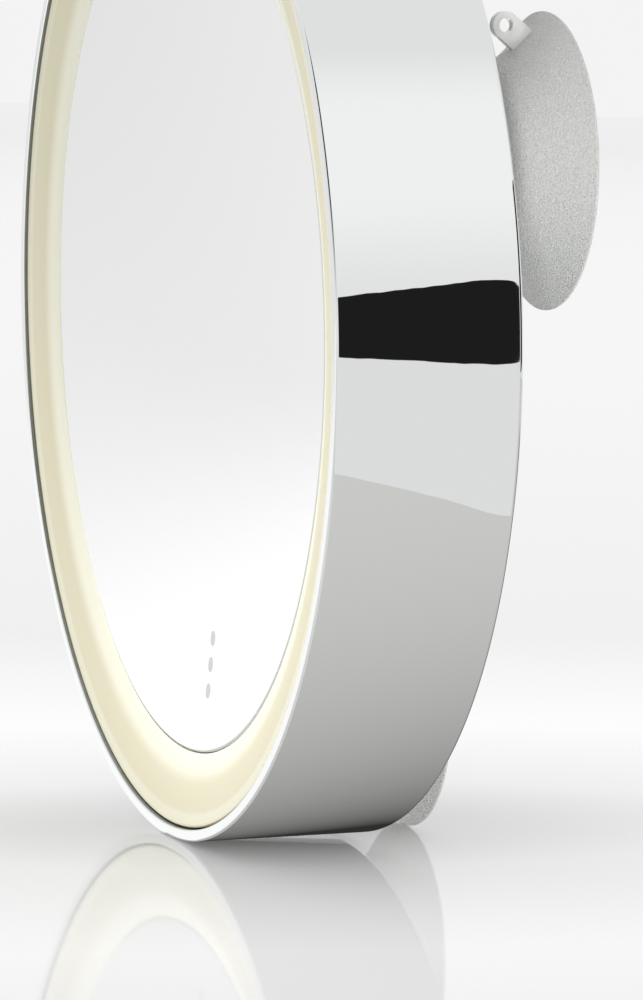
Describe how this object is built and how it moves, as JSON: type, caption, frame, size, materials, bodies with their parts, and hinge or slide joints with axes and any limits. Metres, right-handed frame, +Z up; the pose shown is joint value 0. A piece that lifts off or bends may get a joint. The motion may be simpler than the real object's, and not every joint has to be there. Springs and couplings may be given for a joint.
{
  "type": "lit magnifying wall mirror",
  "caption": "Round magnifying shaving mirror with a frosted light ring in a shallow chrome drum, held to a smooth wall by suction cups.",
  "frame": {"origin": "on the drum's axis, in the plane of the wall that the suction cups hold to", "axes": "+Y along the drum's axis into the wall, so the mirror faces -Y; +Z up; +X to the right as the user sees it"},
  "size_m": [0.2, 0.051, 0.2016],
  "materials": {
    "chrome_shell": "mirror-bright chrome plate",
    "chrome_trim": "bright chrome plate",
    "frosted_lens": "frosted cream, lit from behind",
    "silvered_glass": "silvered behind, ground edge",
    "foam_pad": "matt foam",
    "white_moulding": "satin white",
    "grey_moulding": "fine spark-eroded texture, light grey",
    "circuit_board": "white solder mask",
    "led_white": "gloss",
    "zinc_screw": "zinc plated",
    "steel_screw": "stainless, plain",
    "seal_rubber": "matt black",
    "cell_jacket": "satin sleeve",
    "spring_steel": "bright drawn",
    "nickel_strip": "nickel plated",
    "nylon_bush": "natural white",
    "chip_black": "moulded black",
    "wire_sleeve": "extruded PVC",
    "button_rubber": "satin grey",
    "clear_pvc": "translucent, fine grained"
  },
  "bodies": {
    "mirror_body": {"drum_housing": "chrome_shell", "light_diffuser": "frosted_lens", "mirror_glass": "silvered_glass", "glass_pad": "foam_pad", "carrier_plate": "white_moulding", "led_board": "circuit_board", "leds": "led_white", "led_board_screws": "zinc_screw", "rear_cover": "grey_moulding", "rear_gasket": "seal_rubber", "cover_screws": "steel_screw", "battery_1": "cell_jacket", "battery_2": "cell_jacket", "battery_3": "cell_jacket", "battery_springs": "spring_steel", "battery_contacts": "nickel_strip", "door_hinge_pin": "spring_steel", "cup_bushes": "nylon_bush", "driver_board": "circuit_board", "driver_parts": "chip_black", "small_screws": "zinc_screw", "led_wires": "wire_sleeve", "switch_wires": "wire_sleeve", "button_bezel": "chrome_trim", "switch_body": "chip_black", "switch_board": "circuit_board", "button_spring": "spring_steel"},
    "battery_door": {"battery_door": "grey_moulding", "door_gasket": "seal_rubber"},
    "power_button": {"power_button": "button_rubber", "switch_plunger": "nylon_bush"},
    "suction_cup_1": {"suction_cup_1": "clear_pvc", "cup_stud_1": "nylon_bush", "stud_clip_1": "spring_steel"},
    "suction_cup_2": {"suction_cup_2": "clear_pvc", "cup_stud_2": "nylon_bush", "stud_clip_2": "spring_steel"},
    "suction_cup_3": {"suction_cup_3": "clear_pvc", "cup_stud_3": "nylon_bush", "stud_clip_3": "spring_steel"}
  },
  "joints": [
    {"name": "battery_door_hinge", "type": "hinge", "parent": "mirror_body", "child": "battery_door", "pos_m": [0, -0.0184, 0.0337], "axis": [1, 0, 0], "range_deg": [0, 95]},
    {"name": "power_button_press", "type": "slide", "parent": "mirror_body", "child": "power_button", "axis": [0, -1, 0], "range_m": [0, 0.0015], "stiffness_N_per_m": 900, "springref_m": -0.0012, "deforming": ["button_spring"]},
    {"name": "suction_cup_1_swivel", "type": "hinge", "parent": "mirror_body", "child": "suction_cup_1", "pos_m": [0.06852, -0.01, 0.03051], "axis": [0, 1, 0], "continuous": true},
    {"name": "suction_cup_2_swivel", "type": "hinge", "parent": "mirror_body", "child": "suction_cup_2", "pos_m": [-0.06068, -0.01, 0.04408], "axis": [0, 1, 0], "continuous": true},
    {"name": "suction_cup_3_swivel", "type": "hinge", "parent": "mirror_body", "child": "suction_cup_3", "pos_m": [-0.00784, -0.01, -0.07459], "axis": [0, 1, 0], "continuous": true}
  ]
}
